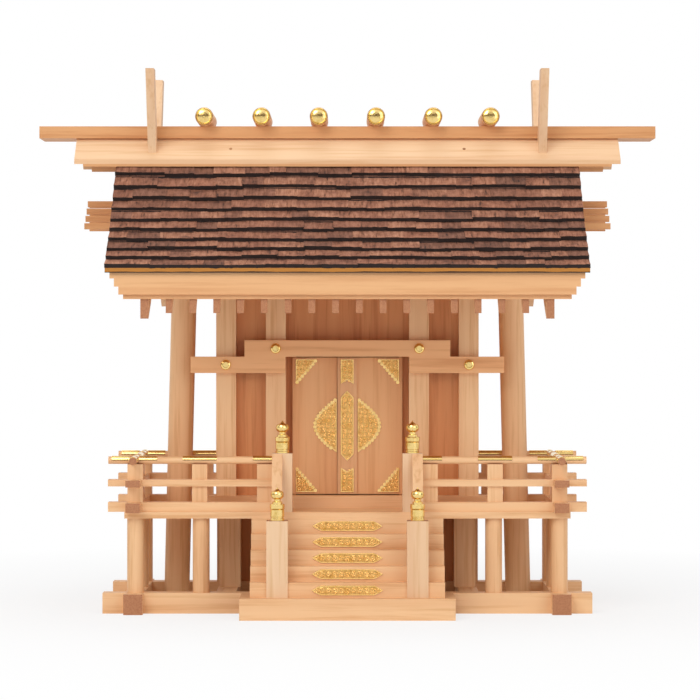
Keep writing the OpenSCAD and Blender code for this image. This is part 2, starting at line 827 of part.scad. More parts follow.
// Brass end cap with a rolled rim and a domed middle
module billet_cap() {
    r = billet_r - 0.5;
    rotate([90, 0, 0]) rotate_extrude() polygon(concat(
        [[0, 0], [r, 0], [r, 1.4], [r - 0.5, 1.9], [r - 1.1, 1.9], [r - 1.5, 1.4]],
        [for (a = [0:18:90]) [(r - 1.5) * cos(a), 1.4 + (cap_t - 1.4) * sin(a)]]));
}

module billet_caps() {
    color("gold") for (i = [-(billet_count - 1) / 2:(billet_count - 1) / 2]) front_and_rear()
        translate([i * billet_pitch, -billet_half, ridge_z + ridge_t + billet_r]) billet_cap();
}

module step_plates() {
    half = 35;
    tall = 4.8;
    tip = 9;
    color("gold") for (i = [1:step_count])
        translate([0, top_riser_y - (step_count - i) * tread, stair_base_top + (i - 0.5) * riser])
            rotate([90, 0, 0]) linear_extrude(plate_t) polygon([[-half, 0], [-half + tip / 2, tall * 0.6],
                [-half + tip, tall], [half - tip, tall], [half - tip / 2, tall * 0.6], [half, 0],
                [half - tip / 2, -tall * 0.6], [half - tip, -tall], [-half + tip, -tall],
                [-half + tip / 2, -tall * 0.6]]);
}

base_long_beams();
base_cross_beams();
floor_bearers();
stair_base();
deck_posts();
underfloor_posts();
deck_front_board();
deck_side_boards();
stair_step(1);  // step_1
stair_step(2);  // step_2
stair_step(3);  // step_3
stair_step(4);  // step_4
stair_step(5);  // step_5
stair_newels();
newel_finials();
stair_handrails();
long_bottom_rails();
long_middle_rails();
long_top_rails();
cross_bottom_rails();
cross_middle_rails();
cross_top_rails();
rail_posts();
rail_saddles();
front_sill();
body_floor();
pillars();
front_panels();
side_walls();
back_wall();
lintel_board();
lintel_knobs();
door_head();
door_jambs();
left_door_leaf();
left_door_plates();
right_door_leaf();
right_door_batten();
right_door_plates();
ridge_columns();
wall_plates();
ridge_pole();
rafters();
bargeboards();
gable_rods();
eaves_layer(1, eaves_face, eaves_face);  // eaves_layer_1
eaves_layer(2, eaves_face, eaves_face);  // eaves_layer_2
eaves_layer(3, eaves_face, eaves_face);  // eaves_layer_3
eaves_layer(4, inner_layer_face, inner_layer_face - rear_inset);  // eaves_layer_4
mirror([0, 1, 0]) bark();  // bark_front
bark();  // bark_rear
ridge_core();
ridge_under_boards();
ridge_side_boards();
ridge_cap();
chigi_boards();
katsuogi_billets();
billet_caps();
step_plates();
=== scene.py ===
"""Looks of a household shrine in pale cypress with a bark roof and gilt brass fittings."""

import json
import logging
import math
import random
from dataclasses import dataclass
from enum import Enum
from typing import Any, Iterable, Sequence

import bmesh
import bpy
from mathutils import Matrix, Vector, noise

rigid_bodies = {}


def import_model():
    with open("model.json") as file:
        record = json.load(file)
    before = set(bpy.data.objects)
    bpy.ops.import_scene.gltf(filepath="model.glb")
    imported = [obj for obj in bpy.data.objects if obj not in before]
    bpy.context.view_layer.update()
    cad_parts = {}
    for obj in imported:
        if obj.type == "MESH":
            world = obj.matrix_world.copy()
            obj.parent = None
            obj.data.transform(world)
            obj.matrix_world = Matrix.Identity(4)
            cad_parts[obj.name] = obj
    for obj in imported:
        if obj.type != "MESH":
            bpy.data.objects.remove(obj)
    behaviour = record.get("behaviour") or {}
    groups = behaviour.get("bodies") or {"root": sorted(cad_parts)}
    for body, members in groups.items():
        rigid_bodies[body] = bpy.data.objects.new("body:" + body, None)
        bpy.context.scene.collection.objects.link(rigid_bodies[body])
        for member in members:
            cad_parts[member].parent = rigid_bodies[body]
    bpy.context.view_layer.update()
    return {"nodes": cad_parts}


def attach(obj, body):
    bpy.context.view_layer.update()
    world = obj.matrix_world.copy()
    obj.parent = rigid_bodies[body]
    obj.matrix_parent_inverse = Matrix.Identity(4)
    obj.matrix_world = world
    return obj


LOG = logging.getLogger("shrine")
MM = 0.001
# The node types that recur, and their usual settings.
MATH = "ShaderNodeMath"
MIX = "ShaderNodeMix"
RAMP = "ShaderNodeValToRGB"
NOISE = "ShaderNodeTexNoise"
RANGE = "ShaderNodeMapRange"
BLEND = {"data_type": "RGBA", "blend_type": "MIX"}
TINT = {"data_type": "RGBA", "blend_type": "MULTIPLY"}
TIMES = {"operation": "MULTIPLY"}

Point = tuple[float, float]


class Grain(Enum):
    """The way that the grain runs in a piece of timber."""

    ALONG_X = 0
    ALONG_Y = 1
    ALONG_Z = 2


def linear(srgb: str) -> tuple[float, float, float, float]:
    """Turns an sRGB hex colour into linear light.

    Args:
        srgb: A colour such as "#E6BE92".

    Returns:
        Red, green, blue and an alpha of one.
    """
    parts = [int(srgb[i : i + 2], 16) / 255 for i in (1, 3, 5)]
    light = [p / 12.92 if p <= 0.04045 else ((p + 0.055) / 1.055) ** 2.4 for p in parts]
    return (light[0], light[1], light[2], 1.0)


def add_node(
    tree: bpy.types.NodeTree,
    kind: str,
    settings: dict[str, Any] | None = None,
    inputs: dict[str | int, Any] | None = None,
    stops: Sequence[tuple[float, str]] = (),
) -> bpy.types.Node:
    """Adds one node with its settings, and sets or links its inputs.

    Args:
        tree: The tree that takes the node.
        kind: The node's type name.
        settings: Properties of the node itself.
        inputs: Values or output sockets, by input name or index.
        stops: Position and sRGB hex colour of each stop, for a colour ramp.

    Returns:
        The new node.
    """
    node = tree.nodes.new(kind)
    for name, value in (settings or {}).items():
        setattr(node, name, value)
    for name, value in (inputs or {}).items():
        socket = node.inputs[name]
        if isinstance(value, bpy.types.NodeSocket):
            tree.links.new(value, socket)
        else:
            socket.default_value = value
    if stops:
        elements = node.color_ramp.elements
        while len(elements) < len(stops):
            elements.new(0.5)
        for element, (position, srgb) in zip(elements, stops):
            element.position = position
            element.color = linear(srgb)
    return node


def new_material(name: str) -> tuple[bpy.types.Material, bpy.types.NodeTree, bpy.types.Node]:
    """Makes an empty material.

    Args:
        name: The material's real name.

    Returns:
        The material, its node tree and its surface shader.
    """
    material = bpy.data.materials.new(name)
    material.use_nodes = True
    tree = material.node_tree
    tree.nodes.clear()
    shader = add_node(tree, "ShaderNodeBsdfPrincipled")
    add_node(tree, "ShaderNodeOutputMaterial", inputs={"Surface": shader.outputs["BSDF"]})
    return material, tree, shader


@dataclass(frozen=True)
class PlanedHinoki:
    """Planed hinoki cypress, left bare: pale, straight-grained and softly satin."""

    name: str
    grain: Grain
    pale: str = "#F0C393"
    late: str = "#E0AC78"
    end: str = "#9C5A3A"
    # The rings of slow-grown cypress are about 1 mm apart. They are drawn about 2 mm apart to show.
    ring_mm: float = 1.9
    # Detail across and along the grain: per ring for the rings, per metre for the broad tone.
    ring_rate: tuple[float, float] = (0.42, 0.016)
    broad_rate: tuple[float, float] = (62.0, 2.2)
    sawn_rate: float = 700.0
    seed: float = 0.0

    def stretched_noise(
        self,
        tree: bpy.types.NodeTree,
        place: bpy.types.Node,
        rate: tuple[float, float],
        seed: float,
        texture: tuple[float, float],
    ) -> bpy.types.Node:
        """Lays noise in long streaks along the grain.

        Args:
            tree: The material's tree.
            place: Its texture coordinates.
            rate: Detail across and along the grain.
            seed: Where in the noise this timber lies.
            texture: Detail and roughness of the noise.

        Returns:
            The noise node.
        """
        scale = [rate[0]] * 3
        scale[self.grain.value] = rate[1]
        spread = add_node(
            tree,
            "ShaderNodeMapping",
            inputs={"Vector": place.outputs["Object"], "Location": (seed,) * 3, "Scale": scale},
        )
        detail, roughness = texture
        return add_node(
            tree,
            NOISE,
            inputs={
                "Vector": spread.outputs["Vector"],
                "Scale": 1.0,
                "Detail": detail,
                "Roughness": roughness,
            },
        )

    def build(self) -> bpy.types.Material:
        """Builds the material.

        Returns:
            The finished material.
        """
        material, tree, shader = new_material(self.name)
        place = add_node(tree, "ShaderNodeTexCoord")
        along = self.grain.value
        across = 1 / (self.ring_mm * MM)
        rings = (across * self.ring_rate[0], across * self.ring_rate[1])
        streaks = self.stretched_noise(tree, place, rings, self.seed, (3.0, 0.62))
        broad = self.stretched_noise(tree, place, self.broad_rate, self.seed + 3.1, (2.0, 0.5))
        grain = add_node(
            tree,
            RAMP,
            inputs={"Fac": streaks.outputs["Fac"]},
            stops=[(0.3, self.late), (0.5, self.pale), (0.78, self.pale)],
        )
        tone = add_node(
            tree,
            RAMP,
            inputs={"Fac": broad.outputs["Fac"]},
            stops=[(0.3, "#F2E4DA"), (0.62, "#FFFFFF")],
        )
        side = add_node(
            tree, MIX, TINT, {0: 0.7, 6: grain.outputs["Color"], 7: tone.outputs["Color"]}
        )
        # Sawn ends drink more light than planed sides, so they look redder and darker.
        facing = add_node(tree, "ShaderNodeSeparateXYZ", inputs={0: place.outputs["Normal"]})
        towards = add_node(tree, MATH, {"operation": "ABSOLUTE"}, {0: facing.outputs[along]})
        is_end = add_node(
            tree, RANGE, inputs={"Value": towards.outputs[0], "From Min": 0.75, "From Max": 0.95}
        )
        speck = add_node(
            tree,
            NOISE,
            inputs={"Vector": place.outputs["Object"], "Scale": self.sawn_rate, "Detail": 2.0},
        )
        specked = add_node(
            tree, MIX, BLEND, {0: speck.outputs["Fac"], 6: linear(self.end), 7: linear(self.late)}
        )
        sawn = add_node(tree, MIX, BLEND, {0: 0.5, 6: specked.outputs[2], 7: linear(self.end)})
        base = add_node(
            tree, MIX, BLEND, {0: is_end.outputs["Result"], 6: side.outputs[2], 7: sawn.outputs[2]}
        )
        tree.links.new(base.outputs[2], shader.inputs["Base Color"])
        rough = add_node(
            tree, RANGE, inputs={"Value": streaks.outputs["Fac"], "To Min": 0.62, "To Max": 0.48}
        )
        tree.links.new(rough.outputs["Result"], shader.inputs["Roughness"])
        bump = add_node(
            tree,
            "ShaderNodeBump",
            inputs={"Height": streaks.outputs["Fac"], "Strength": 0.25, "Distance": 0.0003},
        )
        tree.links.new(bump.outputs["Normal"], shader.inputs["Normal"])
        shader.inputs["IOR"].default_value = 1.5
        return material


@dataclass(frozen=True)
class PeeledBark:
    """Peeled cypress bark in thin strips: dull brown with a violet cast and dark cracks."""

    name: str = "cypress bark, peeled"
    pale: str = "#C4937A"
    middle: str = "#A06F54"
    dark: str = "#3A1B0E"
    # Nearly black painted shade for faces that turn away from the sky.
    painted_shade: str = "#1D0B05"
    cut: str = "#B5762C"
    # Fibres are about 0.5 mm wide and are drawn 1.5 mm wide to show.
    fibre_mm: float = 1.5
    # Fibres lie a little askew and run about six times as long as they are wide.
    askew: float = 0.12
    stretch: float = 0.16
    # Height, half height and waviness in metres of the ochre cut edge.
    cut_z: float = 0.3435
    cut_half: float = 0.0022
    cut_wave: float = 0.0016
    trimmed: bool = False

    def build(self) -> bpy.types.Material:
        """Builds the material.

        Returns:
            The finished material, which reads a strip's own tone from the attribute "tone".
        """
        material, tree, shader = new_material(self.name)
        place = add_node(tree, "ShaderNodeTexCoord")
        fine = 1 / (self.fibre_mm * MM)
        fibres = add_node(
            tree,
            "ShaderNodeMapping",
            inputs={
                "Vector": place.outputs["Object"],
                "Rotation": (0.0, 0.0, self.askew),
                "Scale": (fine, fine * self.stretch, fine * self.stretch),
            },
        )
        lines = add_node(
            tree,
            NOISE,
            inputs={
                "Vector": fibres.outputs["Vector"],
                "Scale": 0.5,
                "Detail": 4.0,
                "Roughness": 0.7,
            },
        )
        cloud = add_node(
            tree,
            NOISE,
            inputs={
                "Vector": place.outputs["Object"],
                "Scale": 75.0,
                "Detail": 5.0,
                "Roughness": 0.65,
            },
        )
        strip = add_node(tree, "ShaderNodeAttribute", {"attribute_name": "tone"})
        fibre = add_node(
            tree,
            RAMP,
            inputs={"Fac": lines.outputs["Fac"]},
            stops=[(0.3, self.dark), (0.42, self.middle), (0.66, self.pale)],
        )
        patch = add_node(
            tree,
            RAMP,
            inputs={"Fac": cloud.outputs["Fac"]},
            stops=[(0.3, "#2E1A14"), (0.37, "#B5A19C"), (0.6, "#FFFFFF")],
        )
        patched = add_node(
            tree, MIX, TINT, {0: 0.7, 6: fibre.outputs["Color"], 7: patch.outputs["Color"]}
        )
        own = add_node(
            tree,
            RAMP,
            inputs={"Fac": strip.outputs["Fac"]},
            stops=[(0.0, "#9A8278"), (0.5, "#E2C6B6"), (1.0, "#FFF0E4")],
        )
        toned = add_node(tree, MIX, TINT, {0: 0.8, 6: patched.outputs[2], 7: own.outputs["Color"]})
        # Painted shade: faces that turn away from the sky, such as butt ends, undersides and
        # upright steps, get a nearly black colour for the shade between the courses.
        facing = add_node(tree, "ShaderNodeSeparateXYZ", inputs={0: place.outputs["Normal"]})
        upwards = add_node(
            tree, RANGE, inputs={"Value": facing.outputs["Z"], "From Min": 0.3, "From Max": 0.6}
        )
        base = add_node(
            tree,
            MIX,
            BLEND,
            {0: upwards.outputs["Result"], 6: linear(self.painted_shade), 7: toned.outputs[2]},
        )
        # Where the edge is trimmed, the fresh cut shows as an ochre line at the eaves.
        if self.trimmed:
            outwards = add_node(tree, MATH, {"operation": "ABSOLUTE"}, {0: facing.outputs["Y"]})
            upright = add_node(
                tree, MATH, {"operation": "GREATER_THAN"}, {0: outwards.outputs[0], 1: 0.95}
            )
            level = add_node(tree, "ShaderNodeSeparateXYZ", inputs={0: place.outputs["Object"]})
            wave = add_node(tree, NOISE, inputs={"Vector": place.outputs["Object"], "Scale": 45.0})
            edge = add_node(
                tree,
                MATH,
                {"operation": "MULTIPLY_ADD"},
                {0: wave.outputs["Fac"], 1: self.cut_wave, 2: level.outputs["Z"]},
            )
            above = add_node(
                tree,
                MATH,
                {"operation": "COMPARE"},
                {0: edge.outputs[0], 1: self.cut_z, 2: self.cut_half},
            )
            shown = add_node(tree, MATH, TIMES, {0: upright.outputs[0], 1: above.outputs[0]})
            base = add_node(
                tree, MIX, BLEND, {0: shown.outputs[0], 6: base.outputs[2], 7: linear(self.cut)}
            )
        tree.links.new(base.outputs[2], shader.inputs["Base Color"])
        shader.inputs["Roughness"].default_value = 0.82
        bump = add_node(
            tree,
            "ShaderNodeBump",
            inputs={"Height": lines.outputs["Fac"], "Strength": 0.7, "Distance": 0.0012},
        )
        tree.links.new(bump.outputs["Normal"], shader.inputs["Normal"])
        return material


@dataclass(frozen=True)
class GiltBrass:
    """Gilt brass: warm yellow metal, bright where turned and soft where pressed."""

    name: str
    colour: str = "#F0CB72"
    shade: str = "#DDB45E"
    roughness: float = 0.22
    # Depth and size of a hand-chased ground, in millimetres. Zero leaves the metal smooth.
    chasing_mm: float = 0.0
    chasing_size_mm: float = 1.3

    def build(self) -> bpy.types.Material:
        """Builds the material.

        Returns:
            The finished material.
        """
        material, tree, shader = new_material(self.name)
        place = add_node(tree, "ShaderNodeTexCoord")
        shader.inputs["Metallic"].default_value = 1.0
        cloud = add_node(
            tree, NOISE, inputs={"Vector": place.outputs["Object"], "Scale": 160.0, "Detail": 2.0}
        )
        gilt = add_node(
            tree,
            RAMP,
            inputs={"Fac": cloud.outputs["Fac"]},
            stops=[(0.3, self.shade), (0.5, self.colour), (0.8, self.colour)],
        )
        base = gilt.outputs["Color"]
        rough = add_node(
            tree,
            RANGE,
            inputs={
                "Value": cloud.outputs["Fac"],
                "To Min": self.roughness + 0.1,
                "To Max": max(0.05, self.roughness - 0.06),
            },
        )
        tree.links.new(rough.outputs["Result"], shader.inputs["Roughness"])
        if self.chasing_mm > 0:
            dots = add_node(
                tree,
                "ShaderNodeTexVoronoi",
                {"feature": "SMOOTH_F1"},
                {"Vector": place.outputs["Object"], "Scale": 1 / (self.chasing_size_mm * MM)},
            )
            bump = add_node(
                tree,
                "ShaderNodeBump",
                {"invert": True},
                {
                    "Height": dots.outputs["Distance"],
                    "Strength": 0.8,
                    "Distance": self.chasing_mm * MM,
                },
            )
            tree.links.new(bump.outputs["Normal"], shader.inputs["Normal"])
            # Painted shade: the colour darkens towards the bottom of the chased pits.
            pit_shade = add_node(
                tree,
                RAMP,
                inputs={"Fac": dots.outputs["Distance"]},
                stops=[(0.3, "#FFFFFF"), (0.75, "#B07C38")],
            )
            pit_shaded = add_node(tree, MIX, TINT, {0: 0.55, 6: base, 7: pit_shade.outputs["Color"]})
            base = pit_shaded.outputs[2]
        tree.links.new(base, shader.inputs["Base Color"])
        return material


def mesh_object(name: str, mesh: bpy.types.Mesh, material: bpy.types.Material) -> bpy.types.Object:
    """Links a mesh into the scene at the origin.

    Args:
        name: The piece's name.
        mesh: Its mesh, in place.
        material: Its finish.

    Returns:
        The new object.
    """
    piece = bpy.data.objects.new(name, mesh)
    bpy.context.scene.collection.objects.link(piece)
    if not mesh.materials:
        mesh.materials.append(material)
    else:
        mesh.materials[0] = material
    return piece


def from_bmesh(
    name: str, shape: bmesh.types.BMesh, material: bpy.types.Material
) -> bpy.types.Object:
    """Turns a built shape into a piece with outward faces.

    Args:
        name: The piece's name.
        shape: The shape, which is freed.
        material: Its finish.

    Returns:
        The new object.
    """
    bmesh.ops.remove_doubles(shape, verts=shape.verts, dist=1e-7)
    bmesh.ops.recalc_face_normals(shape, faces=shape.faces)
    mesh = bpy.data.meshes.new(name)
    shape.to_mesh(mesh)
    shape.free()
    return mesh_object(name, mesh, material)


def add_plate(
    shape: bmesh.types.BMesh, outline: Sequence[Point], face_y: float, thick: float
) -> None:
    """Adds an upright plate that reaches forward from a face.

    Args:
        shape: The shape that takes the plate.
        outline: Corners as (x, z) in metres.
        face_y: Place of the face that it lies on.
        thick: Its thickness.
    """
    front = [shape.verts.new((x, face_y - thick, z)) for x, z in outline]
    back = [shape.verts.new((x, face_y, z)) for x, z in outline]
    count = len(outline)
    shape.faces.new(front)
    shape.faces.new(back[::-1])
    for i in range(count):
        j = (i + 1) % count
        shape.faces.new((front[i], front[j], back[j], back[i]))


@dataclass
class Timber:
    """Gives every cypress node the grain direction and tone that its board has."""

    lying_x: tuple[str, ...] = (
        "base_long_beams", "stair_base", "deck_front_board", "step_1", "step_2", "step_3",
        "step_4", "step_5", "long_bottom_rails", "long_middle_rails", "long_top_rails",
        "front_sill", "body_floor", "door_head", "wall_plates", "ridge_pole",
    )
    # These get painted shade: a darker tone than the other planed cypress.
    darkened_for_shade: tuple[str, ...] = ("gable_rods", "ridge_core", "ridge_under_boards", "ridge_cap")
    # This gets painted light: a brighter tone that lifts its shade.
    lightened_for_shade: tuple[str, ...] = ("lintel_board",)
    pale_lying: tuple[str, ...] = ("ridge_side_boards",)
    pale_standing: tuple[str, ...] = ("chigi_boards", "stair_newels")
    eaves: tuple[str, ...] = ("eaves_layer_1", "eaves_layer_2", "eaves_layer_3", "eaves_layer_4")
    lying_y: tuple[str, ...] = (
        "base_cross_beams", "floor_bearers", "deck_side_boards", "cross_bottom_rails",
        "cross_middle_rails", "cross_top_rails", "rafters", "bargeboards", "katsuogi_billets",
    )
    standing: tuple[str, ...] = (
        "deck_posts", "underfloor_posts", "rail_posts", "pillars", "ridge_columns",
        "stair_handrails",
    )
    # These get painted shade: a darker, redder tone for the shade and warm bounced light in the
    # recess.
    walls: tuple[str, ...] = ("front_panels", "side_walls", "back_wall", "door_jambs")
    doors: tuple[str, ...] = ("left_door_leaf", "right_door_leaf")
    battens: tuple[str, ...] = ("right_door_batten",)
    ring_mm: float = 1.9
    eaves_ring_mm: float = 3.2

    def dress(self, nodes: dict[str, bpy.types.Object]) -> None:
        """Gives each node its finish.

        Args:
            nodes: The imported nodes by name.
        """
        across, deep, upright = Grain.ALONG_X, Grain.ALONG_Y, Grain.ALONG_Z
        tones = (
            ("lying", across, None, 0.0, self.lying_x),
            ("eaves", across, ("#E5B07C", "#D79D69"), 0.0, self.eaves),
            # Painted shade: the ridge cap, core, under boards and gable rods get a darker tone than
            # the rest of the planed cypress, for the shade on their front faces.
            ("ridge board with painted shade", across, ("#DBA26C", "#CC8E58"), 5.5, self.darkened_for_shade),
            # Painted light: the lintel lies in shade under the roof, and its tone is made brighter
            # to lift that shade.
            ("lintel", across, ("#F2B882", "#E2A46E"), 3.4, self.lightened_for_shade),
            ("pale board", across, ("#EDC69C", "#E2B586"), 7.2, self.pale_lying),
            ("pale upright", upright, ("#EBC7A0", "#E0B78A"), 9.1, self.pale_standing),
            ("front to back", deep, None, 1.7, self.lying_y),
            ("standing", upright, None, 4.2, self.standing),
            # Painted shade: the walls, panels and jambs stand back under the eaves. Their tone is
            # made darker and redder for the shade and warm bounced light there.
            ("wall with painted shade", upright, ("#D8935C", "#C67E4A"), 6.3, self.walls),
            ("door", upright, ("#E8B17C", "#DCA06A"), 8.8, self.doors),
            ("batten", upright, ("#E8B584", "#D9A06C"), 2.9, self.battens),
        )
        finishes = {
            PlanedHinoki(
                "hinoki cypress, planed, " + word,
                grain,
                *(colours or ()),
                ring_mm=self.eaves_ring_mm if word == "eaves" else self.ring_mm,
                seed=seed,
            ): names
            for word, grain, colours, seed, names in tones
        }
        for finish, names in finishes.items():
            material = finish.build()
            for name in names:
                paint(nodes[name], material)
            LOG.info("%s: %d nodes", finish.name, len(names))


def paint(piece: bpy.types.Object, material: bpy.types.Material) -> None:
    """Puts one material in every slot of a piece.

    Args:
        piece: The piece to dress.
        material: Its finish.
    """
    if not piece.material_slots:
        piece.data.materials.append(material)
    for material_slot in piece.material_slots:
        material_slot.material = material


def new_spot_tree(
    name: str, numbers: Sequence[str] = ()
) -> tuple[bpy.types.NodeTree, bpy.types.NodeOutputs]:
    """Starts a geometry tree that copies a shape onto spots.

    Args:
        name: The tree's name.
        numbers: Names of its own number inputs.

    Returns:
        The tree and the outputs of its input node.
    """
    tree = bpy.data.node_groups.new(name, "GeometryNodeTree")
    inputs = [("Points", "NodeSocketObject"), ("Finish", "NodeSocketMaterial")]
    for label, kind in inputs + [(number, "NodeSocketFloat") for number in numbers]:
        tree.interface.new_socket(label, in_out="INPUT", socket_type=kind)
    tree.interface.new_socket("Geometry", in_out="OUTPUT", socket_type="NodeSocketGeometry")
    return tree, add_node(tree, "NodeGroupInput").outputs


def lay_on_spots(
    tree: bpy.types.NodeTree, points: bpy.types.NodeSocket, shape: bpy.types.NodeSocket
) -> bpy.types.NodeSocket:
    """Copies a shape onto every spot, turned and sized as the spot says.

    Args:
        tree: The geometry tree.
        points: The object that holds the spots.
        shape: The shape to copy.

    Returns:
        The copies as real geometry.
    """
    spots = add_node(tree, "GeometryNodeObjectInfo", inputs={"Object": points})
    turn, size = (
        add_node(
            tree, "GeometryNodeInputNamedAttribute", {"data_type": "FLOAT_VECTOR"}, {"Name": name}
        )
        for name in ("turn", "size")
    )
    laid = add_node(
        tree,
        "GeometryNodeInstanceOnPoints",
        inputs={
            "Points": spots.outputs["Geometry"],
            "Instance": shape,
            "Rotation": turn.outputs["Attribute"],
            "Scale": size.outputs["Attribute"],
        },
    )
    real = add_node(
        tree, "GeometryNodeRealizeInstances", inputs={"Geometry": laid.outputs["Instances"]}
    )
    return real.outputs["Geometry"]


def close_tree(
    tree: bpy.types.NodeTree, shape: bpy.types.NodeSocket, finish: bpy.types.NodeSocket
) -> None:
    """Ends a geometry tree: real geometry, its finish and the output.

    Args:
        tree: The geometry tree.
        shape: Its last shape.
        finish: The material of the result.
    """
    whole = add_node(tree, "GeometryNodeRealizeInstances", inputs={"Geometry": shape})
    dressed = add_node(
        tree,
        "GeometryNodeSetMaterial",
        inputs={"Geometry": whole.outputs["Geometry"], "Material": finish},
    )
    add_node(tree, "NodeGroupOutput", inputs={"Geometry": dressed.outputs["Geometry"]})


@dataclass(frozen=True)
class Spot:
    """Where one copy stands, how it is turned, how large it is and its own tone."""

    place: tuple[float, float, float]
    turn: tuple[float, float, float]
    size: tuple[float, float, float]
    tone: float = 0.5


@dataclass
class BarkRoof:
    """Strips of peeled bark laid in courses over both slopes."""

    half: float = 0.236
    eaves_y: float = 0.182
    eaves_z: float = 0.344
    slope: float = 0.6
    sweep: float = 1.35
    inner_y: float = 0.044
    courses: int = 10
    strips: int = 19
    strip_length: float = 0.0205
    strip_thick: float = 0.0039
    # How far a strip leans back from the slope, in radians, so that its lower edge stands proud.
    lean: float = 0.24
    # Widths as shares of the even width, and thicknesses as shares of the usual one.
    widths: tuple[float, float] = (0.65, 1.4)
    thicknesses: tuple[float, float] = (0.86, 1.14)
    # Errors of hand work: slow drift and slip along the slope in metres, roll and skew in radians.
    drift: float = 0.0024
    slip: tuple[float, float] = (-0.0005, 0.0009)
    roll: float = 0.014
    skew: float = 0.02
    seed: int = 11

    def spots(self, turn: float, seed: int) -> list[Spot]:
        """Sets out the strips of one slope, course by course from the eaves.

        Args:
            turn: Turn of the slope about the vertical, zero for the rear.
            seed: Seed of the widths and of the small errors of hand work.

        Returns:
            One spot for each strip.
        """
        draw = random.Random(seed)
        pitch = 2 * self.half / self.strips
        run = (self.eaves_y - self.inner_y) / self.courses
        facing = math.cos(turn)
        made = []
        for course in range(self.courses):
            x = -self.half
            while x < self.half - pitch * 0.1:
                width = pitch * draw.uniform(*self.widths)
                if self.half - x - width < pitch * 0.5:
                    width = self.half - x
                drift = noise.noise(Vector((x * 11.0, course * 3.7, seed))) * self.drift
                lower = self.eaves_y - course * run + drift - draw.uniform(*self.slip)
                lower = min(lower, self.eaves_y)
                inward = self.eaves_y - lower
                height = self.eaves_z + self.slope * inward + self.sweep * inward * inward
                middle = inward + self.strip_length * 0.4
                tilt = math.atan(self.slope + 2 * self.sweep * middle) - self.lean
                made.append(
                    Spot(
                        (facing * (x + width / 2), facing * lower, height),
                        (
                            -tilt,
                            draw.uniform(-self.roll, self.roll),
                            turn + draw.uniform(-self.skew, self.skew),
                        ),
                        (
                            width * 1.02,
                            self.strip_length,
                            self.strip_thick * draw.uniform(*self.thicknesses),
                        ),
                        draw.random(),
                    )
                )
                x += width
        return made

    def tree(self) -> bpy.types.NodeTree:
        """Builds the node tree that puts a torn strip on every spot.

        Returns:
            The tree, with inputs for the spots and the finish.
        """
        tree, given = new_spot_tree("bark courses")
        # The strip starts at its lower edge and runs up the slope.
        board = add_node(
            tree,
            "GeometryNodeMeshCube",
            inputs={"Size": (1.0, 1.0, 1.0), "Vertices X": 9, "Vertices Y": 4, "Vertices Z": 2},
        )
        shifted = add_node(
            tree,
            "GeometryNodeTransform",
            inputs={"Geometry": board.outputs["Mesh"], "Translation": (0.0, -0.5, 0.42)},
        )
        real = lay_on_spots(tree, given["Points"], shifted.outputs["Geometry"])
        # Torn fibres make the edges ragged.
        ragged = add_node(tree, NOISE, inputs={"Scale": 210.0, "Detail": 2.0, "Roughness": 0.6})
        centred = add_node(
            tree,
            "ShaderNodeVectorMath",
            {"operation": "SUBTRACT"},
            {0: ragged.outputs["Color"], 1: (0.5, 0.5, 0.5)},
        )
        tear = add_node(
            tree,
            "ShaderNodeVectorMath",
            TIMES,
            {0: centred.outputs[0], 1: (0.0012, 0.0026, 0.0016)},
        )
        torn = add_node(
            tree, "GeometryNodeSetPosition", inputs={"Geometry": real, "Offset": tear.outputs[0]}
        )
        close_tree(tree, torn.outputs["Geometry"], given["Finish"])
        return tree

    def build(self, nodes: dict[str, bpy.types.Object]) -> None:
        """Lays both slopes and dresses the boards below them.

        Args:
            nodes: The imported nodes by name.
        """
        finish = PeeledBark().build()
        under = PeeledBark("cypress bark, trimmed edge", trimmed=True).build()
        for name in ("bark_front", "bark_rear"):
            paint(nodes[name], under)
        tree = self.tree()
        for name, turn, seed in (
            ("bark_strips_front", math.pi, self.seed),
            ("bark_strips_rear", 0.0, self.seed + 40),
        ):
            piece = scattered(name, self.spots(turn, seed), tree, {}, finish)
            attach(piece, "shrine")
            LOG.info("%s: %d faces", name, len(piece.data.polygons))


def scattered(
    name: str,
    spots: Sequence[Spot],
    tree: bpy.types.NodeTree,
    sizes: dict[str, Any],
    finish: bpy.types.Material,
) -> bpy.types.Object:
    """Runs a geometry tree that copies a shape onto spots.

    Args:
        name: The piece's name.
        spots: Where the copies stand.
        tree: The geometry tree, with an input called Points.
        sizes: Values of its other inputs by name.
        finish: Material of the result.

    Returns:
        The finished object.
    """
    mesh = bpy.data.meshes.new(name + "_spots")
    mesh.from_pydata([spot.place for spot in spots], [], [])
    for label in ("turn", "size"):
        layer = mesh.attributes.new(label, "FLOAT_VECTOR", "POINT")
        layer.data.foreach_set("vector", [part for spot in spots for part in getattr(spot, label)])
    tone = mesh.attributes.new("tone", "FLOAT", "POINT")
    tone.data.foreach_set("value", [spot.tone for spot in spots])
    holder = bpy.data.objects.new(name + "_spots", mesh)
    bpy.context.scene.collection.objects.link(holder)
    bpy.context.view_layer.update()
    seedling = bpy.data.objects.new(name + "_tree", bpy.data.meshes.new(name + "_tree"))
    bpy.context.scene.collection.objects.link(seedling)
    modifier = seedling.modifiers.new("grow", "NODES")
    modifier.node_group = tree
    values = {**sizes, "Points": holder, "Finish": finish}
    for item in tree.interface.items_tree:
        if item.item_type == "SOCKET" and item.in_out == "INPUT" and item.name in values:
            modifier[item.identifier] = values[item.name]
    seedling.update_tag()
    evaluated = seedling.evaluated_get(bpy.context.evaluated_depsgraph_get())
    grown = bpy.data.meshes.new_from_object(evaluated)
    grown.name = name
    for helper in (seedling, holder):
        bpy.data.objects.remove(helper)
    return mesh_object(name, grown, finish)


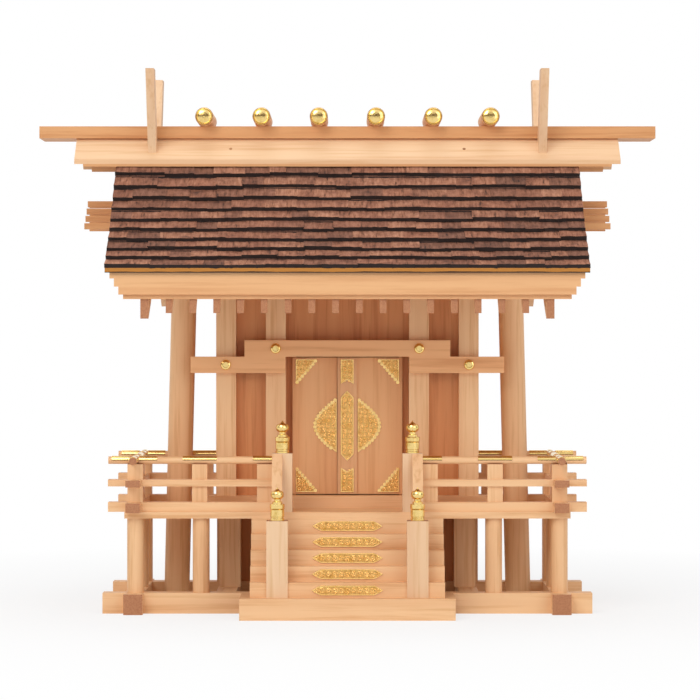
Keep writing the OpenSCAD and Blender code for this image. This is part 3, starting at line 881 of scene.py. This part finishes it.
@dataclass
class Metalwork:
    """Gilt brass fittings: turned finials, cups, knobs and thin pressed plates."""

    turned: tuple[str, ...] = ("newel_finials", "billet_caps", "lintel_knobs", "rail_saddles")
    pressed: tuple[str, ...] = ("left_door_plates", "right_door_plates", "step_plates")

    def dress(self, nodes: dict[str, bpy.types.Object]) -> bpy.types.Material:
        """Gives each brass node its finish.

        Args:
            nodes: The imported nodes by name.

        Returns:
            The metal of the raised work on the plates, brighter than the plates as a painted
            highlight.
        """
        bright = GiltBrass("gilt brass, turned", "#F2D38A", "#E6C272", 0.17).build()
        soft = GiltBrass("gilt brass, pressed", "#F2C071", "#E8B460", 0.34, chasing_mm=0.3).build()
        for name in self.turned:
            paint(nodes[name], bright)
        for name in self.pressed:
            paint(nodes[name], soft)
        # Painted highlight: the raised rims and scrolls get a brighter colour than the plates that
        # they stand on.
        return GiltBrass("gilt brass, relief with painted highlight", "#FDD58C", "#F4C676", 0.22).build()


@dataclass
class Scrollwork:
    """Raised rims and arabesque scrolls on the pressed plates of the doors and the steps."""

    plate_t: float = 0.0008
    rim_w: float = 0.0009
    rim_h: float = 0.0004
    wire: float = 0.0005
    lobe_r: float = 0.0019
    lobe_sides: int = 14
    # Distance between neighbours as a share of the radius, and the size of every other scroll.
    spacing: float = 2.05
    smaller: float = 0.82
    # Turn in radians from one scroll to the next, along a row and between rows.
    turns: tuple[float, float] = (1.3, 2.1)
    plate_margin: float = 0.002
    coils: float = 1.6
    leaf_front: float = -0.024
    batten_front: float = -0.027
    hinge_x: float = 0.054
    meeting_x: float = 0.0101
    batten_w: float = 0.0197
    low: float = 0.115
    high: float = 0.2552
    first_riser: float = -0.158
    tread: float = 0.013
    step_low: float = 0.021
    riser: float = 0.01484
    steps: int = 5

    def tree(self) -> bpy.types.NodeTree:
        """Builds the tree that puts a scroll on every point.

        Returns:
            The tree, with inputs for the points, the wire and the coils.
        """
        tree, given = new_spot_tree("scrolls", ("Wire Radius", "Coils"))
        spiral = add_node(
            tree,
            "GeometryNodeCurveSpiral",
            inputs={
                "Resolution": 12,
                "Rotations": given["Coils"],
                "Start Radius": 0.22,
                "End Radius": 1.0,
                "Height": 0.0,
            },
        )
        upright = add_node(
            tree,
            "GeometryNodeTransform",
            inputs={"Geometry": spiral.outputs["Curve"], "Rotation": (math.pi / 2, 0.0, 0.0)},
        )
        real = lay_on_spots(tree, given["Points"], upright.outputs["Geometry"])
        profile = add_node(
            tree,
            "GeometryNodeCurvePrimitiveCircle",
            inputs={"Resolution": 6, "Radius": given["Wire Radius"]},
        )
        tube = add_node(
            tree,
            "GeometryNodeCurveToMesh",
            inputs={"Curve": real, "Profile Curve": profile.outputs["Curve"], "Fill Caps": True},
        )
        close_tree(tree, tube.outputs["Mesh"], given["Finish"])
        return tree

    def rim(self, shape: bmesh.types.BMesh, outline: Sequence[Point], face_y: float) -> None:
        """Raises a narrow rim along the edge of a plate.

        Args:
            shape: The shape that takes the rim.
            outline: Corners of the plate as (x, z), in order.
            face_y: Place of the plate's front.
        """
        count = len(outline)
        area = sum(
            outline[i - 1][0] * outline[i][1] - outline[i][0] * outline[i - 1][1]
            for i in range(count)
        )
        sign = 1.0 if area > 0 else -1.0
        inner: list[Point] = []
        for i in range(count):
            here = Vector(outline[i])
            before = (here - Vector(outline[i - 1])).normalized()
            after = (Vector(outline[(i + 1) % count]) - here).normalized()
            normal = Vector((-before.y - after.y, before.x + after.x)) * sign
            normal = normal.normalized() if normal.length > 1e-6 else Vector((0.0, 0.0))
            half = max(0.5, normal.dot(Vector((-before.y, before.x)) * sign))
            inset = here + normal * (self.rim_w / half)
            inner.append((inset.x, inset.y))
        loops = [
            [shape.verts.new((x, y, z)) for x, z in line]
            for line, y in (
                (outline, face_y),
                (outline, face_y - self.rim_h),
                (inner, face_y - self.rim_h),
                (inner, face_y),
            )
        ]
        for a, b in zip(loops, loops[1:] + loops[:1]):
            for i in range(count):
                j = (i + 1) % count
                shape.faces.new((a[i], a[j], b[j], b[i]))

    def lobes(self, shape: bmesh.types.BMesh, edge: Sequence[Point], face_y: float) -> None:
        """Scallops an edge with small round lobes, as on a cut-out plate.

        Args:
            shape: The shape that takes the lobes.
            edge: Line of the edge as (x, z).
            face_y: Place of the plate's front.
        """
        spans = list(zip(edge, edge[1:]))
        length = sum(math.dist(a, b) for a, b in spans)
        count = max(2, round(length / (self.lobe_r * self.spacing)))
        for i in range(count):
            left = (i + 0.5) * length / count
            for a, b in spans:
                run = math.dist(a, b)
                if left <= run:
                    break
                left -= run
            x, z = a[0] + (b[0] - a[0]) * left / run, a[1] + (b[1] - a[1]) * left / run
            ring = [
                (x + self.lobe_r * math.cos(t), z + self.lobe_r * math.sin(t))
                for t in (2 * math.pi * j / self.lobe_sides for j in range(self.lobe_sides))
            ]
            add_plate(shape, ring, face_y + self.plate_t, self.plate_t + self.rim_h / 2)

    def leaf_edges(self, inner_x: float, side: int) -> list[list[Point]]:
        """Gives the scalloped edges of the plates on one leaf.

        Args:
            inner_x: Distance from the middle to the straight side of the half plate.
            side: -1 for the left leaf, 1 for the right one.

        Returns:
            The edges as lists of (x, z).
        """
        upper, lower, half = self.leaf_outlines(inner_x, side)
        return [upper[1:], lower[1:], half[1:]]

    def leaf_outlines(self, inner_x: float, side: int) -> list[list[Point]]:
        """Gives the outlines of the plates on one leaf.

        Args:
            inner_x: Distance from the middle to the straight side of the half plate.
            side: -1 for the left leaf, 1 for the right one.

        Returns:
            The outlines as lists of (x, z).
        """
        corner = self.hinge_x - 0.001
        wide, tall, half, bulge = 0.0215, 0.025, 0.0275, 0.0225
        middle = (self.low + self.high) / 2
        upper, lower = self.high - self.plate_margin, self.low + self.plate_margin
        curve = [
            (inner_x + bulge * math.sin(math.pi / 2 * i / 8), middle + half * (1 - i / 8))
            for i in range(1, 9)
        ]
        mirrored = [(x, 2 * middle - z) for x, z in curve[-2::-1]]
        shapes = [
            [(corner, upper), (corner - wide, upper), (corner, upper - tall)],
            [(corner, lower), (corner, lower + tall), (corner - wide, lower)],
            [(inner_x, middle - half), (inner_x, middle + half), *curve, *mirrored],
        ]
        return [[(side * x, z) for x, z in line] for line in shapes]

    def batten_outlines(self) -> list[list[Point]]:
        """Gives the outlines of the three plates on the cover batten.

        Returns:
            The outlines as lists of (x, z).
        """
        x = -self.meeting_x + self.batten_w / 2
        w, h, tip, long_h = 0.0066, 0.025, 0.004, 0.036
        middle = (self.low + self.high) / 2
        upper = self.high - self.plate_margin
        shoulder = long_h - 0.007
        top = [
            (x - w, upper),
            (x + w, upper),
            (x + w, upper - h),
            (x, upper - h + tip),
            (x - w, upper - h),
        ]
        centre = [
            (x - w, middle - shoulder),
            (x - w, middle + shoulder),
            (x, middle + long_h),
            (x + w, middle + shoulder),
            (x + w, middle - shoulder),
            (x, middle - long_h),
        ]
        return [top, [(px, 2 * middle - pz) for px, pz in top], centre]

    def step_outlines(self) -> list[tuple[list[Point], float]]:
        """Gives the outline and the front of every step plate.

        Returns:
            Pairs of an outline and the place of its front.
        """
        half, tall, tip = 0.035, 0.0048, 0.009
        corners = [
            (-half, 0.0),
            (-half + tip / 2, tall * 0.6),
            (-half + tip, tall),
            (half - tip, tall),
            (half - tip / 2, tall * 0.6),
            (half, 0.0),
            (half - tip / 2, -tall * 0.6),
            (half - tip, -tall),
            (-half + tip, -tall),
            (-half + tip / 2, -tall * 0.6),
        ]
        made = []
        for i in range(self.steps):
            z = self.step_low + (i + 0.5) * self.riser
            face = self.first_riser + i * self.tread - self.plate_t
            made.append(([(x, z + dz) for x, dz in corners], face))
        return made

    def fill(self, outline: Sequence[Point], face_y: float, size: float) -> list[Spot]:
        """Packs scrolls inside an outline, as a chaser sets them out: rows of alternate hand.

        Args:
            outline: Corners of the plate as (x, z).
            face_y: Place of the plate's front.
            size: Radius of a full scroll.

        Returns:
            One spot for each scroll.
        """
        zs = [z for _, z in outline]
        pitch = size * self.spacing
        rows = max(1, round((max(zs) - min(zs) - 2 * self.rim_w) / pitch))
        made = []
        for row in range(rows):
            z = min(zs) + self.rim_w + (row + 0.5) * (max(zs) - min(zs) - 2 * self.rim_w) / rows
            inside = self._crossings(outline, z)
            if len(inside) < 2:
                continue
            left, right = inside[0] + self.rim_w, inside[-1] - self.rim_w
            if right - left < size * 0.8:
                continue
            count = max(1, round((right - left) / pitch))
            step = (right - left) / count
            for i in range(count):
                radius = min(size, step / 2, pitch / 2) * (1.0 if (i + row) % 2 else self.smaller)
                turn = (self.turns[0] * i + self.turns[1] * row) % (2 * math.pi)
                made.append(
                    Spot((left + (i + 0.5) * step, face_y, z), (0.0, turn, 0.0), (radius,) * 3)
                )
        return made

    @staticmethod
    def _crossings(outline: Sequence[Point], z: float) -> list[float]:
        """Finds where a level line crosses an outline.

        Args:
            outline: Corners of the plate as (x, z).
            z: Height of the line.

        Returns:
            The places along x, from left to right.
        """
        found = []
        for i, (x1, z1) in enumerate(outline):
            x0, z0 = outline[i - 1]
            if (z0 <= z) != (z1 <= z):
                found.append(x0 + (x1 - x0) * (z - z0) / (z1 - z0))
        return sorted(found)

    def build_group(
        self,
        name: str,
        body: str,
        plates: Iterable[tuple[Sequence[Point], float, float]],
        tree: bpy.types.NodeTree,
        finish: bpy.types.Material,
        scalloped: Sequence[Sequence[Point]] = (),
    ) -> None:
        """Makes the rims and scrolls of one body.

        Args:
            name: First word of the pieces' names.
            body: The body that carries them.
            plates: Outline, front and scroll radius of each plate.
            tree: The scroll tree.
            finish: Their metal.
            scalloped: Edges that carry lobes, on the leaf's own face.
        """
        shape = bmesh.new()
        for edge in scalloped:
            self.lobes(shape, edge, self.leaf_front - self.plate_t)
        spots: list[Spot] = []
        for outline, face_y, size in plates:
            self.rim(shape, outline, face_y)
            spots += self.fill(outline, face_y, size)
        rims = from_bmesh(name + "_rims", shape, finish)
        sizes = {"Wire Radius": self.wire, "Coils": self.coils}
        scrolls = scattered(name + "_scrolls", spots, tree, sizes, finish)
        for piece in (rims, scrolls):
            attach(piece, body)
            LOG.info("%s: %d faces", piece.name, len(piece.data.polygons))

    def build(self, finish: bpy.types.Material) -> None:
        """Makes every rim and scroll.

        Args:
            finish: Their metal.
        """
        tree = self.tree()
        leaf = self.leaf_front - self.plate_t
        batten = self.batten_front - self.plate_t
        left = [(o, leaf, 0.0024) for o in self.leaf_outlines(self.meeting_x + 0.001, -1)]
        right = [
            (o, leaf, 0.0024) for o in self.leaf_outlines(self.batten_w - self.meeting_x + 0.001, 1)
        ]
        right += [(o, batten, 0.0026) for o in self.batten_outlines()]
        steps = [(o, face, 0.0031) for o, face in self.step_outlines()]
        left_edges = self.leaf_edges(self.meeting_x + 0.001, -1)
        right_edges = self.leaf_edges(self.batten_w - self.meeting_x + 0.001, 1)
        self.build_group("left_plate", "left_door", left, tree, finish, left_edges)
        self.build_group("right_plate", "right_door", right, tree, finish, right_edges)
        self.build_group("step_plate", "shrine", steps, tree, finish)


@dataclass
class RidgePegs:
    """Small turned pegs that pin the ridge side boards."""

    across: float = 0.1195
    depth: float = 0.0359
    height: float = 0.4689
    radius: float = 0.0016
    slope: float = math.atan(0.8286)

    def build(self) -> None:
        """Turns the four pegs and seats them in the boards."""
        shape = bmesh.new()
        for side in (-1, 1):
            for front in (-1, 1):
                tilt = Matrix.Rotation(-front * self.slope, 4, "X")
                seat = (side * self.across, front * self.depth, self.height)
                place = Matrix.Translation(seat) @ tilt
                profile = [
                    (self.radius, -0.001),
                    (self.radius, 0.0002),
                    (self.radius * 0.6, 0.0007),
                ]
                rings = [
                    [
                        shape.verts.new(place @ Vector((r * math.cos(a), r * math.sin(a), h)))
                        for a in (2 * math.pi * i / 16 for i in range(16))
                    ]
                    for r, h in profile
                ]
                for low, high in zip(rings, rings[1:]):
                    for i in range(16):
                        j = (i + 1) % 16
                        shape.faces.new((low[i], low[j], high[j], high[i]))
                shape.faces.new(rings[0][::-1])
                shape.faces.new(rings[-1])
        wood = PlanedHinoki(
            "hinoki cypress, turned peg", Grain.ALONG_Z, "#B98150", "#8C5C36"
        ).build()
        pegs = from_bmesh("ridge_pegs", shape, wood)
        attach(pegs, "shrine")
        LOG.info("ridge_pegs: 4 pegs")


@dataclass
class Studio:
    """A white sweep, soft lamps and the camera at the photograph's place."""

    distance: float = 2.903
    eye_z: float = 0.2886
    lens_mm: float = 144.0
    shift: tuple[float, float] = (0.0037, -0.0357)
    lamps: tuple[tuple[str, tuple[float, float, float], float, float], ...] = (
        ("key", (-1.1, -2.2, 1.9), 1.5, 33.0),
        ("fill", (1.7, -2.0, 1.1), 1.8, 15.0),
        ("top", (0.0, 0.2, 2.4), 1.8, 12.0),
    )
    ambient: float = 0.5
    # Middle and half height of the dark band, as the upward part of a direction.
    band: tuple[float, float] = (0.16, 0.11)
    unlit: str = "#5A4630"
    target: tuple[float, float, float] = (0.0, 0.0, 0.25)

    def camera(self) -> None:
        """Sets the camera."""
        data = bpy.data.cameras.new("camera")
        data.lens = self.lens_mm
        data.sensor_width = 36.0
        data.shift_x, data.shift_y = self.shift
        data.clip_start, data.clip_end = 0.05, 50.0
        camera = bpy.data.objects.new("camera", data)
        camera.location = (0.0, -self.distance, self.eye_z)
        camera.rotation_euler = (math.radians(90), 0.0, 0.0)
        bpy.context.scene.collection.objects.link(camera)
        bpy.context.scene.camera = camera

    def seen_directly(self, tree: bpy.types.NodeTree) -> tuple[bpy.types.Node, bpy.types.Node]:
        """Tells rays that see the white room from rays that light the shrine.

        Args:
            tree: The tree that takes the nodes.

        Returns:
            The light path node and a node that gives 1 for camera and mirror rays.
        """
        path = add_node(tree, "ShaderNodeLightPath")
        rays = {0: path.outputs["Is Camera Ray"], 1: path.outputs["Is Glossy Ray"]}
        return path, add_node(tree, MATH, {"operation": "MAXIMUM"}, rays)

    def light(self) -> None:
        """Hangs the lamps and sets the world."""
        aim = Vector(self.target)
        for name, place, size, watts in self.lamps:
            data = bpy.data.lights.new(name, "AREA")
            data.shape = "SQUARE"
            data.size = size
            data.energy = watts
            lamp = bpy.data.objects.new(name, data)
            lamp.location = place
            lamp.rotation_euler = (aim - Vector(place)).to_track_quat("-Z", "Y").to_euler()
            bpy.context.scene.collection.objects.link(lamp)
        world = bpy.data.worlds.new("white room")
        bpy.context.scene.world = world
        world.use_nodes = True
        tree = world.node_tree
        tree.nodes.clear()
        path, seen = self.seen_directly(tree)
        strength = add_node(
            tree, RANGE, inputs={"Value": seen.outputs[0], "To Min": self.ambient, "To Max": 1.0}
        )
        # The unlit side of the room lies behind the camera; turned brass shows it as a dark band.
        way = add_node(tree, "ShaderNodeTexCoord")
        height = add_node(tree, "ShaderNodeSeparateXYZ", inputs={0: way.outputs["Generated"]})
        near = add_node(
            tree,
            MATH,
            {"operation": "COMPARE"},
            {0: height.outputs["Z"], 1: self.band[0], 2: self.band[1]},
        )
        front = add_node(tree, MATH, {"operation": "LESS_THAN"}, {0: height.outputs["Y"], 1: 0.1})
        mirrored = add_node(
            tree, MATH, TIMES, {0: near.outputs[0], 1: path.outputs["Is Glossy Ray"]}
        )
        dark = add_node(tree, MATH, TIMES, {0: mirrored.outputs[0], 1: front.outputs[0]})
        room = add_node(
            tree, MIX, BLEND, {0: dark.outputs[0], 6: linear("#FFFFFF"), 7: linear(self.unlit)}
        )
        white = add_node(
            tree,
            "ShaderNodeBackground",
            inputs={"Color": room.outputs[2], "Strength": strength.outputs["Result"]},
        )
        add_node(tree, "ShaderNodeOutputWorld", inputs={"Surface": white.outputs[0]})

    def floor(self) -> None:
        """Lays a pale floor that keeps the shrine's shadow and melts into the white room."""
        shape = bmesh.new()
        bmesh.ops.create_circle(shape, cap_ends=True, segments=96, radius=14.0)
        material = bpy.data.materials.new("white paper sweep")
        material.use_nodes = True
        tree = material.node_tree
        tree.nodes.clear()
        _, seen = self.seen_directly(tree)
        place = add_node(tree, "ShaderNodeTexCoord")
        away = add_node(
            tree, "ShaderNodeVectorMath", {"operation": "LENGTH"}, {0: place.outputs["Object"]}
        )
        far = add_node(
            tree,
            RANGE,
            inputs={
                "Value": away.outputs["Value"],
                "From Min": 0.3,
                "From Max": 0.8,
                "To Min": 0.72,
            },
        )
        share = add_node(tree, MATH, TIMES, {0: seen.outputs[0], 1: far.outputs[0]})
        paper = add_node(tree, "ShaderNodeBsdfDiffuse", inputs={"Color": (0.93, 0.93, 0.93, 1.0)})
        glow = add_node(
            tree, "ShaderNodeEmission", inputs={"Color": (1.0, 1.0, 1.0, 1.0), "Strength": 1.0}
        )
        both = add_node(
            tree,
            "ShaderNodeMixShader",
            inputs={0: share.outputs[0], 1: paper.outputs[0], 2: glow.outputs[0]},
        )
        add_node(tree, "ShaderNodeOutputMaterial", inputs={"Surface": both.outputs[0]})
        floor = from_bmesh("floor", shape, material)


def main() -> None:
    """Builds the scene."""
    logging.basicConfig(level=logging.INFO, format="%(message)s")
    for old in list(bpy.data.objects):
        bpy.data.objects.remove(old)
    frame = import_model()
    bpy.context.scene.view_settings.view_transform = "Standard"
    studio = Studio()
    studio.camera()
    studio.light()
    studio.floor()
    nodes = frame["nodes"]
    Timber().dress(nodes)
    raised = Metalwork().dress(nodes)
    Scrollwork().build(raised)
    RidgePegs().build()
    BarkRoof().build(nodes)


if __name__ == "__main__":
    main()
